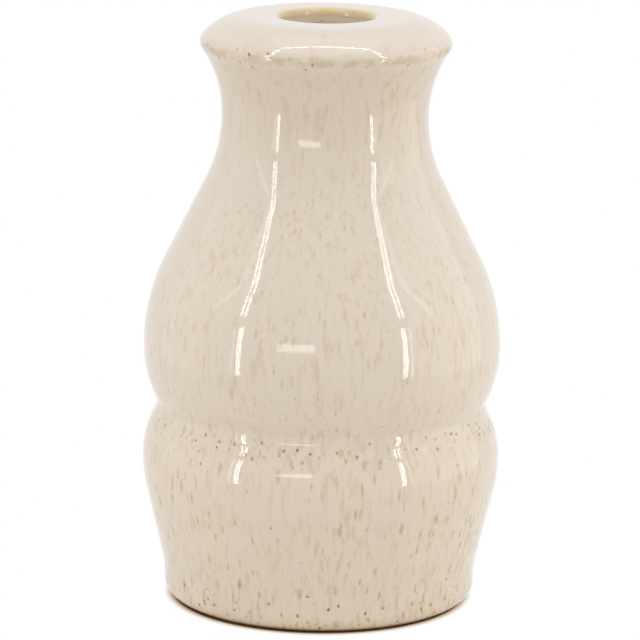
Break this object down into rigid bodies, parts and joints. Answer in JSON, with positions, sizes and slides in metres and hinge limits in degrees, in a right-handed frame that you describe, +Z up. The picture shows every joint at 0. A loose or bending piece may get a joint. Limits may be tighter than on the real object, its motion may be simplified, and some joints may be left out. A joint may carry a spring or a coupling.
{
  "type": "bottle vase",
  "caption": "Hollow glazed stoneware bottle vase: pinched waist, pear-shaped upper part, short flared neck and a domed top with a small round mouth.",
  "frame": {"origin": "centre of the resting plane, on the axis of the vase", "axes": "+Z up along the axis, out of the mouth; the vase is round about +Z"},
  "size_m": [0.1002, 0.1002, 0.1647],
  "materials": {
    "fired_clay": "matte",
    "speckled_glaze": "gloss"
  },
  "bodies": {
    "root": {"stoneware_body": "fired_clay", "glaze_coat": "speckled_glaze"}
  },
  "joints": []
}
